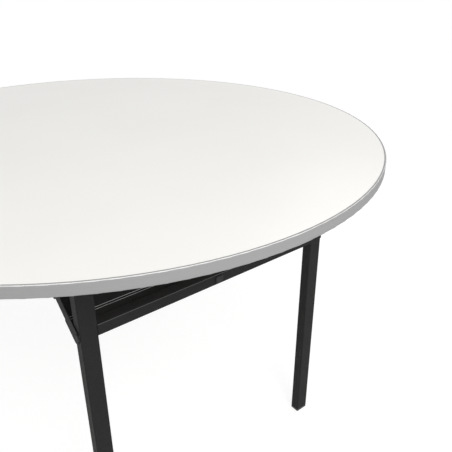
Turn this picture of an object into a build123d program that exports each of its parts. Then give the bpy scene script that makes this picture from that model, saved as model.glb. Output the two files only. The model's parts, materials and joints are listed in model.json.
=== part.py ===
from build123d import *
from math import atan2, cos, degrees, hypot, radians, sin, sqrt, tan
import os

# Round folding table. X points from the middle of the table to the leg frame of end a,
# Y runs along that frame's rail, Z is up, and the origin is on the floor under the centre.

# The whole table
top_diameter = 1500.0
table_height = 740.0
overrun = 2.0
fit_gap = 0.05
running_gap = 0.08
seat_gap = 0.3

# Table top: core, sheets and edge band
core_thickness = 22.4
sheet_thickness = 0.8
band_thickness = 5.0
band_round = 2.0
glue_line = 0.05

# Place of each leg frame under the top, inset from the rim
frame_inset = 202.0
frame_shift = 20.0
leg_spacing = 563.0
rail_drop = 194.0
pivot_drop = 27.0

# Leg tubes
leg_width = 35.0
leg_depth = 25.0
leg_wall = 1.5
leg_corner = 2.5
head_reach = 13.0

# Cross rail between the legs
rail_height = 25.0
rail_depth = 25.0
rail_wall = 1.5
rail_corner = 2.0

# Plastic feet and head plugs
foot_base = 8.0
foot_bevel = 1.5
foot_plug = 24.0
plug_wall = 2.0
head_cap = 2.0
head_bevel = 1.0
head_plug_depth = 4.5

# Pivot axle at the top of the legs
axle_radius = 5.0
bush_wall = 1.5
bush_length = 9.0
bush_flange = 3.0
bush_flange_thickness = 1.0
bush_play = 0.5
cap_radius = 8.5
cap_thickness = 3.2
cap_bevel = 1.4
axle_tail = 2.4

# Pivot bracket on the underside
bracket_sheet = 3.0
pivot_ear_width = 32.0
pivot_base_width = 44.0
pivot_base_wing = 16.0
base_corner = 4.0

# Brace panel: a channel of bent sheet that embraces the leg frame
brace_angle = 40.0
panel_sheet = 1.5
side_gap = 1.0
pin_forward = 3.0
pin_below = 3.5
web_drop = 17.0
near_web_drop = 21.5
near_web_length = 42.0
crease_run = 3.2
near_web_start = 6.0
panel_lift = 7.0
panel_end_reach = 9.0
panel_corner = 6.5
near_corner = 9.0
crease_round = 1.2
knee_lip_height = 8.0
knee_lip_inset = 14.0
web_end_reach = 2.0
knee_sag = 3.0

# Rivets at the rail and at the knee
rivet_radius = 4.0
rivet_head_radius = 6.0
rivet_head_height = 2.0
rivet_head_bevel = 1.2
rivet_anchor = 1.0
spacer_radius = 8.0

# Stay links from the knee to the top
link_thickness = 3.0
link_width = 18.0
link_gap = 3.0
link_play = 0.5
stay_sheet = 2.5
stay_ear_round = 7.5
stay_base_length = 30.0
stay_base_wing = 14.0
stop_radius = 3.0
stop_along = 8.0

# Screws into the core
screw_radius = 2.25
screw_length = 15.0
screw_head_radius = 4.5
screw_head_height = 2.4
screw_head_bevel = 1.6

# Rubber pads under the folded legs and the buffer on the rail
pad_radius = 11.0
pad_bevel = 1.5
pad_distance = 60.0
buffer_width = 19.0
buffer_height = 15.0
buffer_thickness = 3.0
buffer_round = 1.2

# Places worked out from the sizes above
board_thickness = core_thickness + 2 * sheet_thickness
underside = table_height - board_thickness
pivot_height = underside - pivot_drop
pivot_x = top_diameter / 2 - frame_inset - leg_depth / 2
leg_centre = (leg_spacing + leg_width) / 2
rail_centre_height = table_height - rail_drop + rail_height / 2
pin_x = pivot_x + pin_forward
pin_height = rail_centre_height - pin_below
pin_drop = pivot_height - pin_height
stay_height = pivot_height - pin_forward
brace_rise = stay_height - pin_height
brace_run = brace_rise / tan(radians(brace_angle))
stay_x = pin_x - brace_run

# The knee: the two links of the toggle lie in one line when open, less the sag that
# locks them, and one on the other when the legs are folded
half_line = hypot(brace_rise, brace_run) / 2
half_difference = (pivot_x - stay_x - pin_drop) / 2
line_angle = atan2(brace_rise, brace_run)
knee_shift = half_difference * sqrt(1 + knee_sag**2 / (half_line**2 - half_difference**2))
panel_length = hypot(half_line - knee_shift, knee_sag)
link_length = hypot(half_line + knee_shift, knee_sag)
panel_tilt = line_angle - atan2(knee_sag, half_line - knee_shift)
link_tilt = line_angle + atan2(knee_sag, half_line + knee_shift)
knee_inward = panel_length * cos(panel_tilt)
knee_height = pin_height + panel_length * sin(panel_tilt)

# Layers beside each leg, counted from the middle of the leg outwards
leg_side = leg_width / 2
flange_in = leg_side + side_gap
flange_out = flange_in + panel_sheet
link_in = flange_out + link_gap
link_out = link_in + link_thickness
ear_in = leg_side + bush_flange_thickness + bush_play
ear_out = ear_in + bracket_sheet
stay_middle = (link_in + link_out) / 2
stay_ear_in = link_thickness / 2 + link_play
stay_ear_out = stay_ear_in + stay_sheet


def lateral_rod(radius, start, end, x, z):
    """A round bar along Y between two places."""
    return Pos(x, start, z) * extrude(Plane.XZ * Circle(radius), -(end - start))


def lateral_plate(face, start, end):
    """A flat outline in the plane of X and Z, as thick as from start to end along Y."""
    return Pos(0, start, 0) * extrude(Plane.XZ * face, -(end - start))


def headed(radius, height, bevel, x, start, z, outward):
    """A low bevelled rivet head that grows from start along Y, outward being 1 or -1."""
    head = lateral_rod(radius, 0, height, 0, 0)
    rim = head.edges().sort_by(Axis.Y)[-1]
    head = chamfer(rim, bevel)
    if outward < 0:
        head = mirror(head, Plane.XZ)
    return Pos(x, start, z) * head


def box_tube(width, depth, wall, corner, length):
    """A rectangular tube along Z with rounded corners."""
    outer = RectangleRounded(depth, width, corner)
    inner = RectangleRounded(depth - 2 * wall, width - 2 * wall, corner - wall / 2)
    return extrude(outer - inner, length)


def disc(radius, low, high):
    """A flat disc between two heights."""
    return Pos(0, 0, low) * extrude(Circle(radius), high - low)


# Table top
def screw_places():
    """The screws of one end: x, y and the height of the face under the head."""
    wing = ear_out + pivot_base_wing / 2
    along = pivot_base_width / 2 - 2 * screw_head_radius
    places = []
    for side in (-1, 1):
        for step in (-1, 1):
            for wing_side in (-1, 1):
                y = side * leg_centre + wing_side * wing
                places.append((pivot_x + step * along, y - frame_shift, bracket_sheet))
        for wing_side in (-1, 1):
            offset = stay_middle + wing_side * (stay_ear_out + stay_base_wing / 2)
            y = side * (leg_centre + offset)
            places.append((stay_x, y - frame_shift, stay_sheet))
    return places


def with_pilot_holes(board, low, high):
    """The board with the pilot holes of both ends cut between two heights."""
    hole = Cylinder(screw_radius + fit_gap, high - low, align=(Align.CENTER, Align.CENTER, Align.MIN))
    holes = [Pos(x, y, low) * hole for x, y, seat in screw_places()]
    holes += [Rot(0, 0, 180) * one for one in holes]
    return board - holes


def table_top():
    inner = top_diameter / 2 - band_thickness - glue_line
    core_low = underside + sheet_thickness
    core_high = table_height - sheet_thickness
    core = disc(inner, core_low, core_high)
    screw_top = underside + screw_length
    nodes = {"board_core": with_pilot_holes(core, core_low - overrun, screw_top)}
    nodes["top_laminate"] = disc(inner, core_high, table_height)
    backing = disc(inner, underside, core_low)
    nodes["backing_laminate"] = with_pilot_holes(backing, underside - overrun, core_low + overrun)
    middle = top_diameter / 2 - band_thickness / 2
    section = Pos(middle, underside + board_thickness / 2) * Rectangle(band_thickness, board_thickness)
    outer_corners = section.vertices().group_by(Axis.X)[-1]
    section = fillet(outer_corners, band_round)
    nodes["edge_band"] = revolve(Plane.XZ * section, Axis.Z)
    return nodes


# Pieces fixed under the top at one end
def pivot_bracket(side):
    """A bent bracket with an ear on each side of the leg."""
    drop = pivot_drop + pivot_ear_width / 2
    ear = Pos(0, -drop / 2) * Rectangle(pivot_ear_width, drop)
    ear = fillet(ear.vertices().group_by(Axis.Y)[0], pivot_ear_width / 2 - fit_gap)
    ear -= Pos(0, -pivot_drop) * Circle(axle_radius + fit_gap)
    neck = Pos(0, -bracket_sheet / 2) * Rectangle(pivot_base_width, bracket_sheet)
    solid = lateral_plate(ear + neck, ear_in, ear_out)
    solid += lateral_plate(ear + neck, -ear_out, -ear_in)
    base_width = 2 * (ear_out + pivot_base_wing)
    base = extrude(RectangleRounded(pivot_base_width, base_width, base_corner), -bracket_sheet)
    solid = Pos(pivot_x, side * leg_centre, underside) * (solid + base)
    return solid - [Pos(0, frame_shift, 0) * one for one in screw_clearances()]


def screw_clearances():
    """The screws' clearance holes through a bracket's base."""
    return [
        Pos(x, y, underside) * Cylinder(screw_radius + fit_gap, 2 * bracket_sheet + overrun)
        for x, y, seat in screw_places()
    ]


def stop_place():
    """The stop pin's place beside the open stay link, inwards of and above the stay pin."""
    offset = link_width / 2 + stop_radius + seat_gap
    inward = -stop_along * cos(link_tilt) + offset * sin(link_tilt)
    above = -stop_along * sin(link_tilt) - offset * cos(link_tilt)
    return inward, above


def stay_bracket(side):
    """A small bent bracket with an ear on each side of the stay link."""
    inward, above = stop_place()
    drop = underside - stay_height
    root = Pos(0, -stay_sheet / 2) * Rectangle(stay_base_length, stay_sheet)
    pin_boss = Pos(0, -drop) * Circle(stay_ear_round + stop_radius)
    stop_boss = Pos(-inward, -drop + above) * Circle(stay_ear_round)
    ear = make_hull((root + pin_boss + stop_boss).edges())
    ear -= Pos(0, -drop) * Circle(rivet_radius + fit_gap)
    ear -= Pos(-inward, -drop + above) * Circle(stop_radius + fit_gap)
    solid = lateral_plate(ear, stay_ear_in, stay_ear_out)
    solid += lateral_plate(ear, -stay_ear_out, -stay_ear_in)
    base_width = 2 * (stay_ear_out + stay_base_wing)
    solid += extrude(RectangleRounded(stay_base_length, base_width, base_corner), -stay_sheet)
    y = side * (leg_centre + stay_middle)
    solid = Pos(stay_x, y, underside) * solid
    return solid - [Pos(0, frame_shift, 0) * one for one in screw_clearances()]


def pivot_axle():
    end = leg_centre + ear_out + axle_tail
    return lateral_rod(axle_radius, -end, end, pivot_x, pivot_height)


def axle_caps():
    """Push-on caps, one over each end of the axle."""
    start = leg_centre + ear_out
    caps = []
    for side in (-1, 1):
        cap = headed(cap_radius, cap_thickness, cap_bevel, pivot_x, side * start, pivot_height, side)
        bore_end = axle_tail + fit_gap
        low, high = sorted((side * (start - overrun), side * (start + bore_end)))
        caps.append(cap - lateral_rod(axle_radius + fit_gap, low, high, pivot_x, pivot_height))
    return Compound(caps)


def cross_pin(radius, head_radius, side, inward, above):
    """A headed pin through both ears of a stay bracket."""
    x = stay_x - inward
    z = stay_height + above
    y = side * (leg_centre + stay_middle)
    pin = lateral_rod(radius, y - stay_ear_out, y + stay_ear_out, x, z)
    for way in (-1, 1):
        start = y + way * stay_ear_out
        pin += headed(head_radius, rivet_head_height, rivet_head_bevel, x, start, z, way)
    return pin


def stay_pins():
    return Compound([cross_pin(rivet_radius, rivet_head_radius, side, 0, 0) for side in (-1, 1)])


def stop_pins():
    inward, above = stop_place()
    head = stop_radius + rivet_head_height
    return Compound([cross_pin(stop_radius, head, side, inward, above) for side in (-1, 1)])


def bracket_screws():
    """Pan head wood screws."""
    head = extrude(Circle(screw_head_radius), -screw_head_height)
    head = chamfer(head.edges().sort_by(Axis.Z)[0], screw_head_bevel)
    screws = []
    for x, y, seat in screw_places():
        shank = extrude(Circle(screw_radius), screw_length + seat - fit_gap)
        screws.append(Pos(x, y + frame_shift, underside - seat) * (head + shank))
    return Compound(screws)


def rest_pads():
    """Rubber pads that the folded legs lie against."""
    pad = extrude(Circle(pad_radius), -(pivot_drop - leg_depth / 2 - seat_gap))
    pad = chamfer(pad.edges().sort_by(Axis.Z)[0], pad_bevel)
    return Compound([Pos(pad_distance, side * leg_centre, underside) * pad for side in (-1, 1)])


# Leg frame
def leg(side):
    low = foot_base
    high = pivot_height + head_reach
    tube = box_tube(leg_width, leg_depth, leg_wall, leg_corner, high - low)
    tube = Pos(pivot_x, side * leg_centre, low) * tube
    middle = side * leg_centre
    reach = leg_side + overrun
    bush_hole = axle_radius + running_gap + bush_wall + fit_gap
    tube -= lateral_rod(bush_hole, middle - reach, middle + reach, pivot_x, pivot_height)
    wall_inside = middle + side * (leg_side - leg_wall - overrun)
    start, end = sorted((wall_inside, middle + side * reach))
    return tube - lateral_rod(rivet_radius + fit_gap, start, end, pin_x, pin_height)


def rail():
    tube = box_tube(rail_height, rail_depth, rail_wall, rail_corner, leg_spacing)
    return Pos(pivot_x, -leg_spacing / 2, rail_centre_height) * Rot(-90, 0, 0) * tube


def plug_section():
    """The hollow section that fits inside the leg tube."""
    depth = leg_depth - 2 * leg_wall - 2 * fit_gap
    width = leg_width - 2 * leg_wall - 2 * fit_gap
    outer = RectangleRounded(depth, width, leg_corner - leg_wall / 2)
    return outer - Rectangle(depth - 2 * plug_wall, width - 2 * plug_wall)


def foot(side):
    """A foot with a hollow plug inside the tube."""
    base = extrude(RectangleRounded(leg_depth, leg_width, leg_corner), foot_base)
    base = chamfer(base.edges().group_by(Axis.Z)[0], foot_bevel)
    plug = Pos(0, 0, foot_base) * extrude(plug_section(), foot_plug)
    return Pos(pivot_x, side * leg_centre, 0) * (base + plug)


def head_plug(side):
    """A cap on the top end of the tube."""
    cap = extrude(RectangleRounded(leg_depth, leg_width, leg_corner), head_cap)
    cap = chamfer(cap.edges().group_by(Axis.Z)[-1], head_bevel)
    cap += extrude(plug_section(), -head_plug_depth)
    return Pos(pivot_x, side * leg_centre, pivot_height + head_reach) * cap


def pivot_bushes():
    """Flanged bushes, one in each side wall of each leg."""
    bore = axle_radius + running_gap
    bushes = []
    for side in (-1, 1):
        for way in (-1, 1):
            face = side * leg_centre + way * leg_side
            flange_end = face + way * bush_flange_thickness
            sleeve_end = face - way * bush_length
            low, high = sorted((sleeve_end, flange_end))
            bush = lateral_rod(bore + bush_wall, low, high, pivot_x, pivot_height)
            low, high = sorted((face, flange_end))
            bush += lateral_rod(bore + bush_wall + bush_flange, low, high, pivot_x, pivot_height)
            low, high = sorted((sleeve_end - way * overrun, flange_end + way * overrun))
            bushes.append(bush - lateral_rod(bore, low, high, pivot_x, pivot_height))
    return Compound(bushes)


def brace_pins():
    """Rivets through the brace flange into the leg, each with its spacer."""
    pins = []
    for side in (-1, 1):
        middle = side * leg_centre
        inner_end = middle + side * (leg_side - leg_wall - rivet_anchor)
        head_start = middle + side * (flange_out + seat_gap)
        low, high = sorted((inner_end, head_start))
        pin = lateral_rod(rivet_radius, low, high, pin_x, pin_height)
        spacer_end = middle + side * (flange_in - seat_gap)
        low, high = sorted((middle + side * leg_side, spacer_end))
        pin += lateral_rod(spacer_radius, low, high, pin_x, pin_height)
        head = (rivet_head_radius, rivet_head_height, rivet_head_bevel)
        pin += headed(*head, pin_x, head_start, pin_height, side)
        pins.append(pin)
    return Compound(pins)


def stack_bumper():
    """The rubber buffer in the middle of the rail's outer face."""
    block = extrude(Plane.YZ * RectangleRounded(buffer_width, buffer_height, buffer_round), buffer_thickness)
    block = chamfer(block.edges().group_by(Axis.X)[-1], buffer_round / 2)
    return Pos(pivot_x + rail_depth / 2, 0, rail_centre_height) * block


# Brace panel
def panel_place(solid):
    """Set a solid drawn along +X from the pin onto the brace: inwards and up."""
    turned = Rot(0, 180 + degrees(panel_tilt), 0) * mirror(solid, Plane.XY)
    return Pos(pin_x, 0, pin_height) * turned


def round_crease(face):
    """The outline with the bends of its double crease rounded."""
    start = near_web_length - panel_sheet / 2
    end = near_web_length + crease_run + panel_sheet
    return fillet([v for v in face.vertices() if start < v.X < end], crease_round)


def panel_web():
    """The web's bent section, with the double crease behind the rail and a lip at the knee."""
    crease_start = near_web_length
    crease_end = near_web_length + crease_run
    knee_end = panel_length + web_end_reach
    path = Polyline(
        (near_web_start, -near_web_drop),
        (crease_start, -near_web_drop),
        (crease_end, -web_drop),
        (knee_end, -web_drop),
    )
    lower = Polyline(
        (near_web_start, -near_web_drop - panel_sheet),
        (crease_start + panel_sheet / 2, -near_web_drop - panel_sheet),
        (crease_end + panel_sheet / 2, -web_drop - panel_sheet),
        (knee_end, -web_drop - panel_sheet),
    )
    start_cap = Line(path @ 0, lower @ 0)
    end_cap = Line(path @ 1, lower @ 1)
    section = round_crease(make_face(Curve() + [path, lower, start_cap, end_cap]))
    half = leg_centre + flange_out
    return lateral_plate(section, -half, half)


def panel_flange():
    """One turned-up side flange, drawn in the plane of the brace."""
    crease_start = near_web_length
    crease_end = near_web_length + crease_run
    low = -web_drop - panel_sheet
    near_low = -near_web_drop - panel_sheet
    far = panel_length + panel_end_reach
    outline = Polyline(
        (-panel_end_reach, near_low),
        (crease_start + panel_sheet / 2, near_low),
        (crease_end + panel_sheet / 2, low),
        (far, low),
        (far, panel_lift),
        (-panel_end_reach, panel_lift),
        (-panel_end_reach, near_low),
    )
    face = round_crease(make_face(outline))
    near_vertex = face.vertices().group_by(Axis.X)[0].sort_by(Axis.Y)[0]
    face = fillet(near_vertex, near_corner)
    others = [v for v in face.vertices() if v.Y > panel_lift - fit_gap]
    face = fillet(others, panel_corner)
    far_vertex = face.vertices().group_by(Axis.X)[-1].sort_by(Axis.Y)[0]
    face = fillet(far_vertex, panel_corner)
    face -= Circle(rivet_radius + running_gap)
    return face - Pos(panel_length, 0) * Circle(rivet_radius + fit_gap)


def brace_panel():
    half_in = leg_centre + flange_in
    half_out = leg_centre + flange_out
    flange = panel_flange()
    solid = panel_web()
    solid += lateral_plate(flange, half_in, half_out)
    solid += lateral_plate(flange, -half_out, -half_in)
    lip_end = panel_length + web_end_reach
    lip_half = leg_spacing / 2 - knee_lip_inset
    lip_top = -web_drop + knee_lip_height
    lip = Pos(lip_end - panel_sheet / 2, (lip_top - web_drop) / 2)
    lip *= Rectangle(panel_sheet, knee_lip_height + panel_sheet / 2)
    solid += lateral_plate(lip, -lip_half, lip_half)
    return panel_place(solid)


def knee_rivets():
    """The half of each knee rivet that the panel's flange holds, with its spacer."""
    rivets = []
    for side in (-1, 1):
        middle = side * leg_centre
        low, high = sorted((middle + side * flange_in, middle + side * flange_out))
        rivet = lateral_rod(rivet_radius, low, high, panel_length, 0)
        low, high = sorted((middle + side * flange_out, middle + side * (link_in - seat_gap)))
        rivet += lateral_rod(spacer_radius, low, high, panel_length, 0)
        rivets.append(panel_place(rivet))
    return Compound(rivets)


# Stay links
def link_place(solid):
    """Set a solid drawn along +X from the stay pin onto the link: outwards and down."""
    turned = Rot(0, degrees(link_tilt), 0) * solid
    return Pos(stay_x, 0, stay_height) * turned


def stay_link(side):
    bar = Pos(link_length / 2, 0) * SlotCenterToCenter(link_length, link_width)
    bar -= Circle(rivet_radius + running_gap)
    bar -= Pos(link_length, 0) * Circle(rivet_radius + fit_gap)
    middle = side * leg_centre
    low, high = sorted((middle + side * link_in, middle + side * link_out))
    return link_place(lateral_plate(bar, low, high))


def knee_studs():
    """The half of each knee rivet that the link holds."""
    studs = []
    for side in (-1, 1):
        middle = side * leg_centre
        low, high = sorted((middle + side * link_in, middle + side * link_out))
        stud = lateral_rod(rivet_radius, low, high, link_length, 0)
        start = middle + side * link_out
        head = (rivet_head_radius, rivet_head_height, rivet_head_bevel)
        stud += headed(*head, link_length, start, 0, side)
        studs.append(link_place(stud))
    return Compound(studs)


def end_nodes():
    """All pieces of one end, drawn about the middle of its leg frame."""
    nodes = {}
    for name, side in (("left", -1), ("right", 1)):
        nodes["pivot_bracket_" + name] = pivot_bracket(side)
        nodes["stay_bracket_" + name] = stay_bracket(side)
        nodes["leg_" + name] = leg(side)
        nodes["foot_" + name] = foot(side)
        nodes["head_plug_" + name] = head_plug(side)
        nodes["stay_link_" + name] = stay_link(side)
    nodes["pivot_axle"] = pivot_axle()
    nodes["axle_caps"] = axle_caps()
    nodes["stay_pins"] = stay_pins()
    nodes["stop_pins"] = stop_pins()
    nodes["bracket_screws"] = bracket_screws()
    nodes["rest_pads"] = rest_pads()
    nodes["rail"] = rail()
    nodes["pivot_bushes"] = pivot_bushes()
    nodes["brace_pins"] = brace_pins()
    nodes["stack_bumper"] = stack_bumper()
    nodes["brace_panel"] = brace_panel()
    nodes["knee_rivets"] = knee_rivets()
    nodes["knee_studs"] = knee_studs()
    return nodes


def main():
    os.makedirs("parts", exist_ok=True)
    nodes = table_top()
    end = end_nodes()
    for name, solid in end.items():
        placed = Pos(0, -frame_shift, 0) * solid
        nodes[name + "_a"] = placed
        nodes[name + "_b"] = Rot(0, 0, 180) * placed
    for name, solid in nodes.items():
        export_step(solid, "parts/" + name + ".step")
    print(len(nodes), "nodes")
    print("pivot", pivot_x, pivot_height)
    print("pin", pin_x, pin_height)
    print("stay pin", stay_x, stay_height)
    print("knee", pin_x - knee_inward, knee_height)
    print("panel tilt", degrees(panel_tilt), "link tilt", degrees(link_tilt))


main()
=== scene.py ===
import json
import math

import bmesh
import bpy
from mathutils import Matrix, Vector


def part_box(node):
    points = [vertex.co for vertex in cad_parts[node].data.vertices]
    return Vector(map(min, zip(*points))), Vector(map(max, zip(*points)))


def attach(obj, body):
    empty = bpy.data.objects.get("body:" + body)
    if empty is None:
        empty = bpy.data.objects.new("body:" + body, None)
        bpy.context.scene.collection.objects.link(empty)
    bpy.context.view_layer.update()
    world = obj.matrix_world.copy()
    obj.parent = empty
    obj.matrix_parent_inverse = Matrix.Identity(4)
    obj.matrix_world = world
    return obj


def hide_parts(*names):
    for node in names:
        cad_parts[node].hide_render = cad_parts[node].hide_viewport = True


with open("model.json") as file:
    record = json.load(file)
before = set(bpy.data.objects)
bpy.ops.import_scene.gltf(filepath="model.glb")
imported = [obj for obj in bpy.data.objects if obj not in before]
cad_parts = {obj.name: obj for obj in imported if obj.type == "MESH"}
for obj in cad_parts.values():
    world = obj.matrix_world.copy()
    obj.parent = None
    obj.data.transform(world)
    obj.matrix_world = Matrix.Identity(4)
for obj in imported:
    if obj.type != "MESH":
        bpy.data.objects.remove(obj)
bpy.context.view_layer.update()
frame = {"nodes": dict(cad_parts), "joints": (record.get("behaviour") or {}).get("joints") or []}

NODES = frame["nodes"]
ENDS = ("a", "b")
MM = 0.001
WHITE = (1.0, 1.0, 1.0, 1.0)

# The part of a noise's range over which a colour or a roughness changes
COLOUR_SPAN = (0.35, 0.65)
ROUGHNESS_SPAN = (0.3, 0.7)


# Node helpers
def new_node(tree, kind, **values):
    """A node with values on its inputs. An underscore in an input's name stands for a space."""
    made = tree.nodes.new(kind)
    for name, value in values.items():
        made.inputs[name.replace("_", " ")].default_value = value
    return made


def math_node(tree, operation, first, second):
    """The result of an operation on two values, each a node's output or a number."""
    made = tree.nodes.new("ShaderNodeMath")
    made.operation = operation
    for socket, value in zip(made.inputs, (first, second)):
        if isinstance(value, float):
            socket.default_value = value
        else:
            tree.links.new(value, socket)
    return made.outputs[0]


class Finish:
    """A procedural material, with short ways to add its texture nodes."""

    def __init__(self, name, colour, roughness, metallic=0.0, specular=0.5):
        self.material = bpy.data.materials.new(name)
        self.material.use_nodes = True
        self.tree = self.material.node_tree
        self.shader = self.tree.nodes["Principled BSDF"]
        self.shader.inputs["Base Color"].default_value = (*colour, 1.0)
        self.shader.inputs["Roughness"].default_value = roughness
        self.shader.inputs["Metallic"].default_value = metallic
        self.shader.inputs["Specular IOR Level"].default_value = specular
        self.place = self.node("ShaderNodeTexCoord").outputs["Object"]
        self.last_bump = None

    def node(self, kind, **values):
        return new_node(self.tree, kind, **values)

    def link(self, source, target):
        self.tree.links.new(source, target)

    def stretched(self, scale):
        """Object coordinates, multiplied per axis where a scale is given."""
        if scale is None:
            return self.place
        mapping = self.node("ShaderNodeMapping", Scale=scale)
        self.link(self.place, mapping.inputs["Vector"])
        return mapping.outputs["Vector"]

    def upward(self, vector):
        """The Z part of a vector."""
        parts = self.node("ShaderNodeSeparateXYZ")
        self.link(vector, parts.inputs[0])
        return parts.outputs["Z"]

    def noise(self, scale, detail=3.0, rough=0.5, stretch=None):
        made = self.node("ShaderNodeTexNoise", Scale=scale, Detail=detail, Roughness=rough)
        self.link(self.stretched(stretch), made.inputs["Vector"])
        return made.outputs["Fac"]

    def cells(self, scale, stretch=None, output="Distance"):
        made = self.node("ShaderNodeTexVoronoi", Scale=scale)
        self.link(self.stretched(stretch), made.inputs["Vector"])
        return made.outputs[output]

    def ramp(self, factor, stops):
        made = self.node("ShaderNodeValToRGB")
        elements = made.color_ramp.elements
        while len(elements) < len(stops):
            elements.new(0.5)
        for element, (position, colour) in zip(elements, stops):
            element.position = position
            element.color = (*colour, 1.0)
        self.link(factor, made.inputs["Fac"])
        return made.outputs["Color"]

    def colour_by(self, factor, stops):
        self.link(self.ramp(factor, stops), self.shader.inputs["Base Color"])

    def vary_colour(self, factor, low, high):
        self.colour_by(factor, list(zip(COLOUR_SPAN, (low, high))))

    def vary_roughness(self, factor, low, high):
        start, end = ROUGHNESS_SPAN
        ends = {"From_Min": start, "From_Max": end, "To_Min": low, "To_Max": high}
        span = self.node("ShaderNodeMapRange", **ends)
        self.link(factor, span.inputs["Value"])
        self.link(span.outputs["Result"], self.shader.inputs["Roughness"])

    def painted_highlight_corners(self, facing, colour, above):
        """A painted highlight: a paler line on corners above a height, picked by how far their
        surface faces up to the light.
        """
        faces_up = self.upward(self.node("ShaderNodeTexCoord").outputs["Normal"])
        higher = math_node(self.tree, "GREATER_THAN", self.upward(self.place), above)
        self.painted_highlight_line(math_node(self.tree, "MULTIPLY", faces_up, higher), facing, colour)

    def painted_highlight_rim(self, low, high, shares, colour):
        """A painted highlight: a paler line round a rim, at shares of the way from a low height to
        a high one.
        """
        span = self.node("ShaderNodeMapRange", From_Min=low, From_Max=high)
        self.link(self.upward(self.place), span.inputs["Value"])
        self.painted_highlight_line(span.outputs["Result"], shares, colour)

    def painted_highlight_line(self, factor, steps, colour):
        """Another colour, a painted highlight, where a factor lies between the middle two of four
        steps.
        """
        mask = self.ramp(factor, [(step, (share,) * 3) for step, share in zip(steps, (0, 1, 1, 0))])
        mix = self.node("ShaderNodeMixRGB", Color2=(*colour, 1.0))
        colour_input = self.shader.inputs["Base Color"]
        self.link(mask, mix.inputs["Fac"])
        self.link(colour_input.links[0].from_socket, mix.inputs["Color1"])
        self.link(mix.outputs["Color"], colour_input)

    def bump(self, height, strength, depth):
        """Bump of a depth in millimetres, on top of any bump made before."""
        made = self.node("ShaderNodeBump", Strength=strength, Distance=depth * MM)
        self.link(height, made.inputs["Height"])
        if self.last_bump:
            self.link(self.last_bump, made.inputs["Normal"])
        self.last_bump = made.outputs["Normal"]
        self.link(self.last_bump, self.shader.inputs["Normal"])


# Materials
def white_laminate():
    """Satin melamine: a very fine suede grain and a faint cloudiness."""
    finish = Finish("white_laminate", (0.863, 0.856, 0.829), roughness=0.34)
    cloud = finish.noise(scale=3.0, detail=2.0)
    finish.vary_colour(cloud, low=(0.855, 0.848, 0.820), high=(0.871, 0.864, 0.838))
    finish.vary_roughness(finish.noise(scale=60.0, detail=4.0, rough=0.6), low=0.31, high=0.38)
    finish.bump(finish.noise(scale=1400.0, detail=2.0), strength=0.12, depth=0.06)
    finish.bump(finish.cells(scale=420.0), strength=0.05, depth=0.08)
    return finish.material


def backing_sheet():
    """The plain balancing sheet under the core, with paper fibres showing."""
    finish = Finish("backing_sheet", (0.62, 0.60, 0.57), roughness=0.55)
    fibre = finish.noise(scale=90.0, detail=6.0, rough=0.7, stretch=(1.0, 4.0, 1.0))
    finish.vary_colour(fibre, low=(0.60, 0.585, 0.55), high=(0.66, 0.645, 0.61))
    finish.vary_roughness(finish.noise(scale=25.0), low=0.5, high=0.62)
    finish.bump(finish.noise(scale=700.0, detail=2.0), strength=0.15, depth=0.1)
    return finish.material


def particle_board():
    """Pressed chips of several browns, lying flat."""
    finish = Finish("board", (0.45, 0.32, 0.19), roughness=0.85)
    chip_scale, chip_stretch = 230.0, (1.0, 1.6, 3.5)
    chips = finish.cells(chip_scale, chip_stretch, output="Color")
    browns = [(0.2, (0.30, 0.19, 0.10)), (0.5, (0.48, 0.34, 0.20)), (0.8, (0.62, 0.48, 0.31))]
    finish.colour_by(chips, browns)
    finish.bump(finish.cells(chip_scale, chip_stretch), strength=0.5, depth=0.5)
    return finish.material


# The rounded upper corner of the edge band, and where along its height the painted highlight lies
RIM_LOW = 738.0 * MM
RIM_HIGH = 740.0 * MM
HIGHLIGHT_RIM_SHARES = (0.42, 0.52, 0.86, 0.93)


def grey_band():
    """Extruded plastic edging: faint drawing lines, and a painted highlight along the rounded upper
    corner.
    """
    finish = Finish("grey_band", (0.33, 0.331, 0.333), roughness=0.5, specular=0.15)
    lines = finish.noise(scale=9.0, detail=4.0, rough=0.6, stretch=(0.6, 0.6, 160.0))
    finish.vary_colour(lines, low=(0.318, 0.319, 0.321), high=(0.340, 0.341, 0.343))
    # Painted highlight: a pale line along the band's rounded upper corner, where light catches it
    finish.painted_highlight_rim(RIM_LOW, RIM_HIGH, HIGHLIGHT_RIM_SHARES, colour=(0.8, 0.8, 0.795))
    finish.vary_roughness(finish.noise(scale=40.0), low=0.46, high=0.56)
    finish.bump(lines, strength=0.08, depth=0.08)
    finish.bump(finish.noise(scale=1100.0, detail=2.0), strength=0.06, depth=0.05)
    return finish.material


# How far up the bends with a painted highlight face, how warm the highlight is (the share of blue
# that is left), and the height above which the folding panel's bends get it
HIGHLIGHT_FACING = (0.1, 0.25, 0.62, 0.72)
HIGHLIGHT_BLUE = 0.98
CREASE_HEIGHT = 560.0 * MM


def powder_black(name="powder_black", painted_highlight=0.1, painted_highlight_above=0.0):
    """Fine satin powder coat: orange peel, small grains, uneven sheen and a painted highlight on
    upper bends.
    """
    finish = Finish(name, (0.0145, 0.0145, 0.0145), roughness=0.52, specular=0.14)
    grains = finish.noise(scale=320.0)
    finish.vary_colour(grains, low=(0.0135, 0.0135, 0.0136), high=(0.0165, 0.0165, 0.0166))
    # Painted highlight: a paler colour on upward-facing bends, where light catches the top edges
    highlight_colour = (painted_highlight, painted_highlight, painted_highlight * HIGHLIGHT_BLUE)
    finish.painted_highlight_corners(HIGHLIGHT_FACING, colour=highlight_colour, above=painted_highlight_above)
    finish.vary_roughness(finish.noise(scale=140.0, detail=4.0, rough=0.6), low=0.48, high=0.59)
    finish.bump(finish.noise(scale=260.0, detail=2.0), strength=0.10, depth=0.2)
    finish.bump(finish.noise(scale=1500.0, detail=2.0), strength=0.08, depth=0.06)
    return finish.material


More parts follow.
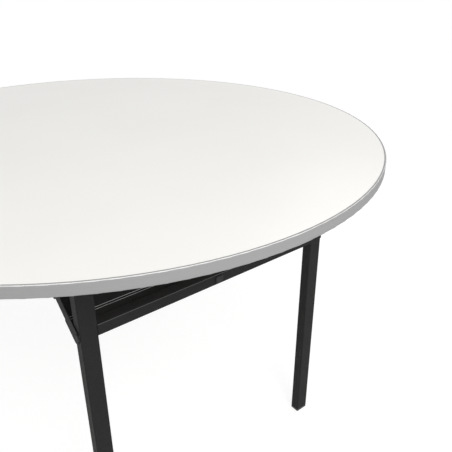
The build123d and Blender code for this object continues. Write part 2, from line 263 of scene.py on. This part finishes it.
def zinc_steel():
    """Zinc plate with a soft mottle and light scratches."""
    finish = Finish("zinc_steel", (0.56, 0.56, 0.55), roughness=0.36, metallic=1.0)
    mottle = finish.noise(scale=55.0, detail=4.0, rough=0.6)
    finish.vary_colour(mottle, low=(0.49, 0.50, 0.50), high=(0.62, 0.61, 0.585))
    wiped = finish.noise(scale=190.0, detail=5.0, rough=0.7, stretch=(1.0, 5.0, 1.0))
    finish.vary_roughness(wiped, low=0.27, high=0.47)
    scratches = finish.noise(scale=900.0, rough=0.6, stretch=(1.0, 6.0, 1.0))
    finish.bump(scratches, strength=0.12, depth=0.06)
    return finish.material


def dark_rivet():
    """Black oxide on pressed steel, slightly rubbed."""
    base = (0.035, 0.035, 0.036)
    finish = Finish("dark_rivet", base, roughness=0.5, metallic=0.3, specular=0.3)
    rubbing = finish.noise(scale=260.0, detail=4.0, rough=0.6)
    finish.vary_colour(rubbing, low=(0.022, 0.022, 0.023), high=(0.052, 0.051, 0.05))
    finish.vary_roughness(finish.noise(scale=420.0), low=0.46, high=0.6)
    finish.bump(finish.noise(scale=800.0), strength=0.18, depth=0.1)
    return finish.material


def nylon():
    """Moulded black nylon with a fine spark-eroded skin."""
    finish = Finish("nylon", (0.075, 0.075, 0.076), roughness=0.45)
    shades = finish.noise(scale=200.0, detail=2.0)
    finish.vary_colour(shades, low=(0.068, 0.068, 0.07), high=(0.084, 0.084, 0.085))
    finish.vary_roughness(finish.noise(scale=500.0), low=0.38, high=0.52)
    finish.bump(finish.noise(scale=1600.0, detail=2.0), strength=0.15, depth=0.07)
    return finish.material


def foot_plastic():
    """Grained polyethylene, as on pressed-in tube ends."""
    finish = Finish("foot_plastic", (0.04, 0.04, 0.041), roughness=0.5)
    shades = finish.noise(scale=120.0)
    finish.vary_colour(shades, low=(0.036, 0.036, 0.037), high=(0.048, 0.048, 0.049))
    finish.vary_roughness(finish.noise(scale=300.0), low=0.42, high=0.6)
    finish.bump(finish.cells(scale=900.0), strength=0.3, depth=0.12)
    return finish.material


def black_rubber():
    """Matt rubber with a dusty bloom."""
    finish = Finish("black_rubber", (0.026, 0.026, 0.026), roughness=0.78, specular=0.35)
    bloom = finish.noise(scale=150.0, detail=5.0, rough=0.7)
    finish.vary_colour(bloom, low=(0.021, 0.021, 0.021), high=(0.037, 0.036, 0.035))
    finish.vary_roughness(finish.noise(scale=350.0), low=0.7, high=0.88)
    finish.bump(finish.noise(scale=1200.0), strength=0.35, depth=0.12)
    return finish.material


SLOTS = {
    "white_laminate": white_laminate(),
    "backing_sheet": backing_sheet(),
    "board": particle_board(),
    "grey_band": grey_band(),
    "powder_black": powder_black(),
    "zinc_steel": zinc_steel(),
    "dark_rivet": dark_rivet(),
    "nylon": nylon(),
    "foot_plastic": foot_plastic(),
    "black_rubber": black_rubber(),
}
SLOT_OF = {
    "top_laminate": "white_laminate",
    "board_core": "board",
    "backing_laminate": "backing_sheet",
    "edge_band": "grey_band",
    "pivot_bracket": "powder_black",
    "stay_bracket": "powder_black",
    "pivot_axle": "zinc_steel",
    "axle_caps": "zinc_steel",
    "stay_pins": "dark_rivet",
    "stop_pins": "dark_rivet",
    "bracket_screws": "zinc_steel",
    "rest_pads": "black_rubber",
    "leg": "powder_black",
    "rail": "powder_black",
    "foot": "foot_plastic",
    "head_plug": "foot_plastic",
    "pivot_bushes": "nylon",
    "brace_pins": "dark_rivet",
    "stack_bumper": "black_rubber",
    "brace_panel": "powder_black",
    "knee_rivets": "dark_rivet",
    "stay_link": "powder_black",
    "knee_studs": "dark_rivet",
}


def slot_of(node):
    """The slot of a node: that of its name without its side and its end."""
    for ending in ("", "_a", "_b", "_left_a", "_left_b", "_right_a", "_right_b"):
        plain = node[: len(node) - len(ending)]
        if node.endswith(ending) and plain in SLOT_OF:
            return SLOT_OF[plain]
    raise KeyError(node)


def dress(piece, material):
    piece.data.materials.clear()
    piece.data.materials.append(material)


for node_name, node_object in NODES.items():
    dress(node_object, SLOTS[slot_of(node_name)])
# The folding panels' creases above the crease height get a brighter painted highlight
painted_highlight_panel = powder_black("powder_black_panel", painted_highlight=0.6, painted_highlight_above=CREASE_HEIGHT)
for end_name in ENDS:
    dress(NODES["brace_panel_" + end_name], painted_highlight_panel)


# Pieces of the scene's own
def add_object(name, mesh):
    """A new object from a bmesh, which is freed."""
    data = bpy.data.meshes.new(name)
    mesh.to_mesh(data)
    mesh.free()
    made = bpy.data.objects.new(name, data)
    bpy.context.scene.collection.objects.link(made)
    return made


def add_piece(name, mesh, body, slot):
    """A new piece, riding on a body with the finish of a slot."""
    bmesh.ops.recalc_face_normals(mesh, faces=mesh.faces)
    piece = add_object(name, mesh)
    dress(piece, SLOTS[slot])
    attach(piece, body)
    return piece


def add_ring(mesh, points):
    return [mesh.verts.new(point) for point in points]


def bridge(mesh, lower, upper, smooth=True):
    """Faces between two rings of as many points."""
    count = len(lower)
    for i in range(count):
        after = (i + 1) % count
        face = mesh.faces.new((lower[i], lower[after], upper[after], upper[i]))
        face.smooth = smooth


def bridge_all(mesh, rings):
    for lower, upper in zip(rings, rings[1:]):
        bridge(mesh, lower, upper)


# Weld beads between the rail and the legs
WELD_RADIUS = 1.9 * MM
WELD_END = 3.5 * MM
WELD_RIPPLE = 2.3 * MM
WELD_WAVE = 0.12
WELD_BLUNTNESS = 8
WELD_TIP = 0.02
WELD_STEPS = 44
WELD_SIDES = 10


def weld_bead(mesh, start, end):
    """A rippled bead with tapered ends, along X from start to end."""
    length = (end - start).length
    rings = []
    for step in range(WELD_STEPS + 1):
        share = step / WELD_STEPS
        along = share * length
        taper = math.sqrt(max(1.0 - (2.0 * share - 1.0) ** WELD_BLUNTNESS, WELD_TIP))
        ripple = 1.0 + WELD_WAVE * abs(math.sin(math.pi * along / WELD_RIPPLE))
        radius = WELD_RADIUS * taper * ripple
        centre = start.lerp(end, share)
        ring = []
        for i in range(WELD_SIDES):
            turn = 2.0 * math.pi * i / WELD_SIDES
            ring.append(centre + Vector((0.0, radius * math.cos(turn), radius * math.sin(turn))))
        rings.append(add_ring(mesh, ring))
    bridge_all(mesh, rings)
    mesh.faces.new(rings[0])
    mesh.faces.new(rings[-1])


def add_rail_welds(end):
    mesh = bmesh.new()
    low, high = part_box("rail_" + end)
    for y in (low[1], high[1]):
        for z in (low[2], high[2]):
            start = Vector((low[0] + WELD_END, y, z))
            weld_bead(mesh, start, Vector((high[0] - WELD_END, y, z)))
    add_piece("rail_welds_" + end, mesh, "leg_frame_" + end, "powder_black")


# Screws with a crossed recess: radii and heights in millimetres from the seat, the head below it
HEAD_PROFILE = ((4.5, 0.0), (4.5, -0.55), (4.3, -1.15), (3.85, -1.75), (3.2, -2.2), (2.95, -2.3))
SHANK_PROFILE = ((2.2, 0.0), (2.2, 12.5), (0.3, 17.5))
RECESS_ARM = 2.35
RECESS_HALF = 0.55
RECESS_DEPTH = 1.3
RECESS_TAPER = 0.55
SCREW_SIDES = 32
# The turn of each screw's cross from that of the screw before, in radians
SCREW_TURN = 0.7

# Where the screws sit: thickness of each bracket's sheet, and steps from the bracket's middle
PIVOT_SHEET = 3.0 * MM
PIVOT_STEP_X = 13.0 * MM
PIVOT_STEP_Y = 30.0 * MM
STAY_SHEET = 2.5 * MM
STAY_STEP_Y = 11.5 * MM


def circle(centre, radius, height):
    points = []
    for i in range(SCREW_SIDES):
        turn = 2.0 * math.pi * i / SCREW_SIDES
        offset = Vector((radius * math.cos(turn), radius * math.sin(turn), height))
        points.append(centre + MM * offset)
    return points


def cross(centre, turn, scale, height):
    """The twelve corners of a cross."""
    arm, half = RECESS_ARM, RECESS_HALF
    points = []
    for quarter in range(4):
        spin = Matrix.Rotation(turn + quarter * math.pi / 2.0, 3, "Z")
        for x, y in ((half, half), (half, arm), (-half, arm)):
            points.append(centre + MM * (spin @ Vector((x * scale, y * scale, height))))
    return points


def screw(mesh, centre, turn):
    """A pan head screw whose seat is at centre, its head below it."""
    head = [add_ring(mesh, circle(centre, radius, height)) for radius, height in HEAD_PROFILE]
    bridge_all(mesh, head)
    head_end = HEAD_PROFILE[-1][1]
    mouth = add_ring(mesh, cross(centre, turn, 1.0, head_end))
    recess = add_ring(mesh, cross(centre, turn, RECESS_TAPER, head_end + RECESS_DEPTH))
    bridge(mesh, mouth, recess, smooth=False)
    mesh.faces.new(recess)
    loops = []
    for ring in (head[-1], mouth):
        for vert, after in zip(ring, ring[1:] + ring[:1]):
            loops.append(mesh.edges.get((vert, after)) or mesh.edges.new((vert, after)))
    bmesh.ops.triangle_fill(mesh, edges=loops, use_beauty=True)
    shank = [add_ring(mesh, circle(centre, radius, height)) for radius, height in SHANK_PROFILE]
    bridge_all(mesh, [head[0]] + shank)
    mesh.faces.new(shank[-1])


def screw_seats(end):
    """The places of one end's screws: four on each pivot bracket, two on each stay bracket."""
    stay_joint = next(one for one in frame["joints"] if one["name"] == "stay_fold_" + end)
    stay_x = stay_joint["pos_m"][0]
    seats = []
    for side in ("left", "right"):
        low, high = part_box(f"pivot_bracket_{side}_{end}")
        x, y = (low[0] + high[0]) / 2.0, (low[1] + high[1]) / 2.0
        middle = Vector((x, y, high[2] - PIVOT_SHEET))
        for step_x in (-PIVOT_STEP_X, PIVOT_STEP_X):
            for step_y in (-PIVOT_STEP_Y, PIVOT_STEP_Y):
                seats.append(middle + Vector((step_x, step_y, 0.0)))
        low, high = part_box(f"stay_bracket_{side}_{end}")
        y = (low[1] + high[1]) / 2.0
        for step_y in (-STAY_STEP_Y, STAY_STEP_Y):
            seats.append(Vector((stay_x, y + step_y, high[2] - STAY_SHEET)))
    return seats


def add_screws(end):
    mesh = bmesh.new()
    for number, seat in enumerate(screw_seats(end)):
        screw(mesh, seat, SCREW_TURN * number)
    piece = add_piece("screws_" + end, mesh, "top", "zinc_steel")
    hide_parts("bracket_screws_" + end)


for end_name in ENDS:
    add_rail_welds(end_name)
    add_screws(end_name)


# Camera: found from the round outline and the leg frame in the photograph
CAMERA_PLACE = (1.3199, -0.6243, 1.1724)
CAMERA_AZIMUTH = math.radians(51.09)
CAMERA_PITCH = math.radians(26.52)
FOCAL_PIXELS = 543.21
FRAME_PIXELS = 452.0
SENSOR = 36.0
CLIP_START = 0.01
CLIP_END = 200.0


def add_aimed(name, data, place, ahead):
    """A new camera or light at a place, looking ahead."""
    made = bpy.data.objects.new(name, data)
    bpy.context.scene.collection.objects.link(made)
    made.location = place
    made.rotation_euler = ahead.to_track_quat("-Z", "Y").to_euler()
    return made


def add_camera():
    data = bpy.data.cameras.new("camera")
    data.sensor_width = SENSOR
    data.lens = SENSOR * FOCAL_PIXELS / FRAME_PIXELS
    data.clip_start = CLIP_START
    data.clip_end = CLIP_END
    level = math.cos(CAMERA_PITCH)
    ahead = Vector((
        -math.sin(CAMERA_AZIMUTH) * level,
        math.cos(CAMERA_AZIMUTH) * level,
        -math.sin(CAMERA_PITCH),
    ))
    bpy.context.scene.camera = add_aimed("camera", data, CAMERA_PLACE, ahead)


# Light: name, place, what it points at, width and length, watts, colour
LIGHTS = (
    ("key_light", (2.35, -0.5, 2.1), (0.4, -0.1, 0.7), (1.2, 1.2), 27.5, (1.0, 0.99, 0.97)),
    ("edge_light", (2.95, 0.85, 1.45), (0.55, -0.2, 0.58), (0.8, 1.2), 4.0, (1.0, 1.0, 1.0)),
    ("back_light", (-0.79, 2.21, 2.46), (0.62, 0.2, 0.74), (1.0, 1.0), 4.5, (1.0, 1.0, 1.0)),
)


def add_light(name, place, target, size, watts, colour):
    data = bpy.data.lights.new(name, "AREA")
    data.shape = "ELLIPSE"
    data.size, data.size_y = size
    data.energy = watts
    data.color = colour
    add_aimed(name, data, place, Vector(target) - Vector(place))


# World and floor
WORLD_STRENGTH = 0.705
SEEN_STRENGTH = 1.0
# The floor that the camera sees: a little shadow on a white glow
FLOOR_WHITE = 0.32
FLOOR_GLOW = 0.78
# The floor that lights the object, and with a little glow the floor that its gloss mirrors
FLOOR_BOUNCE = 0.8
FLOOR_MIRROR_GLOW = 0.1
FLOOR_SIZE = 40.0


def seen_directly(tree):
    """One where the camera, a mirror or glass sees the surface, else zero."""
    rays = tree.nodes.new("ShaderNodeLightPath").outputs
    seen = math_node(tree, "MAXIMUM", rays["Is Camera Ray"], rays["Is Glossy Ray"])
    return math_node(tree, "MAXIMUM", seen, rays["Is Transmission Ray"])


def mixed(tree, factor, first, second):
    """One shader at factor 0, the other at factor 1."""
    mix = tree.nodes.new("ShaderNodeMixShader")
    for socket, source in zip(mix.inputs, (factor, first.outputs[0], second.outputs[0])):
        tree.links.new(source, socket)
    return mix


def diffuse(tree, level):
    return new_node(tree, "ShaderNodeBsdfDiffuse", Color=(level, level, level, 1.0))


def glowing(tree, shader, strength):
    """A shader with white light added."""
    total = tree.nodes.new("ShaderNodeAddShader")
    glow = new_node(tree, "ShaderNodeEmission", Strength=strength)
    tree.links.new(shader.outputs[0], total.inputs[0])
    tree.links.new(glow.outputs[0], total.inputs[1])
    return total


def set_surface(tree, kind, shader):
    """An empty tree's output node, fed with a shader."""
    output = tree.nodes.new(kind)
    tree.links.new(shader.outputs[0], output.inputs["Surface"])


def add_world():
    world = bpy.data.worlds.new("world")
    bpy.context.scene.world = world
    world.use_nodes = True
    tree = world.node_tree
    tree.nodes.clear()
    light = new_node(tree, "ShaderNodeBackground", Color=WHITE, Strength=WORLD_STRENGTH)
    seen = new_node(tree, "ShaderNodeBackground", Color=WHITE, Strength=SEEN_STRENGTH)
    set_surface(tree, "ShaderNodeOutputWorld", mixed(tree, seen_directly(tree), light, seen))


def floor_material():
    material = bpy.data.materials.new("floor")
    material.use_nodes = True
    tree = material.node_tree
    tree.nodes.clear()
    plain = diffuse(tree, FLOOR_BOUNCE)
    mirrored = glowing(tree, plain, FLOOR_MIRROR_GLOW)
    viewed = glowing(tree, diffuse(tree, FLOOR_WHITE), FLOOR_GLOW)
    camera_ray = tree.nodes.new("ShaderNodeLightPath").outputs["Is Camera Ray"]
    seen = mixed(tree, camera_ray, mirrored, viewed)
    set_surface(tree, "ShaderNodeOutputMaterial", mixed(tree, seen_directly(tree), plain, seen))
    return material


def add_floor():
    mesh = bmesh.new()
    half = FLOOR_SIZE / 2.0
    corners = ((-half, -half, 0), (half, -half, 0), (half, half, 0), (-half, half, 0))
    mesh.faces.new(add_ring(mesh, corners))
    floor = add_object("floor", mesh)
    floor.data.materials.append(floor_material())


add_camera()
add_world()
add_floor()
for row in LIGHTS:
    add_light(*row)
bpy.context.scene.view_settings.view_transform = "Standard"
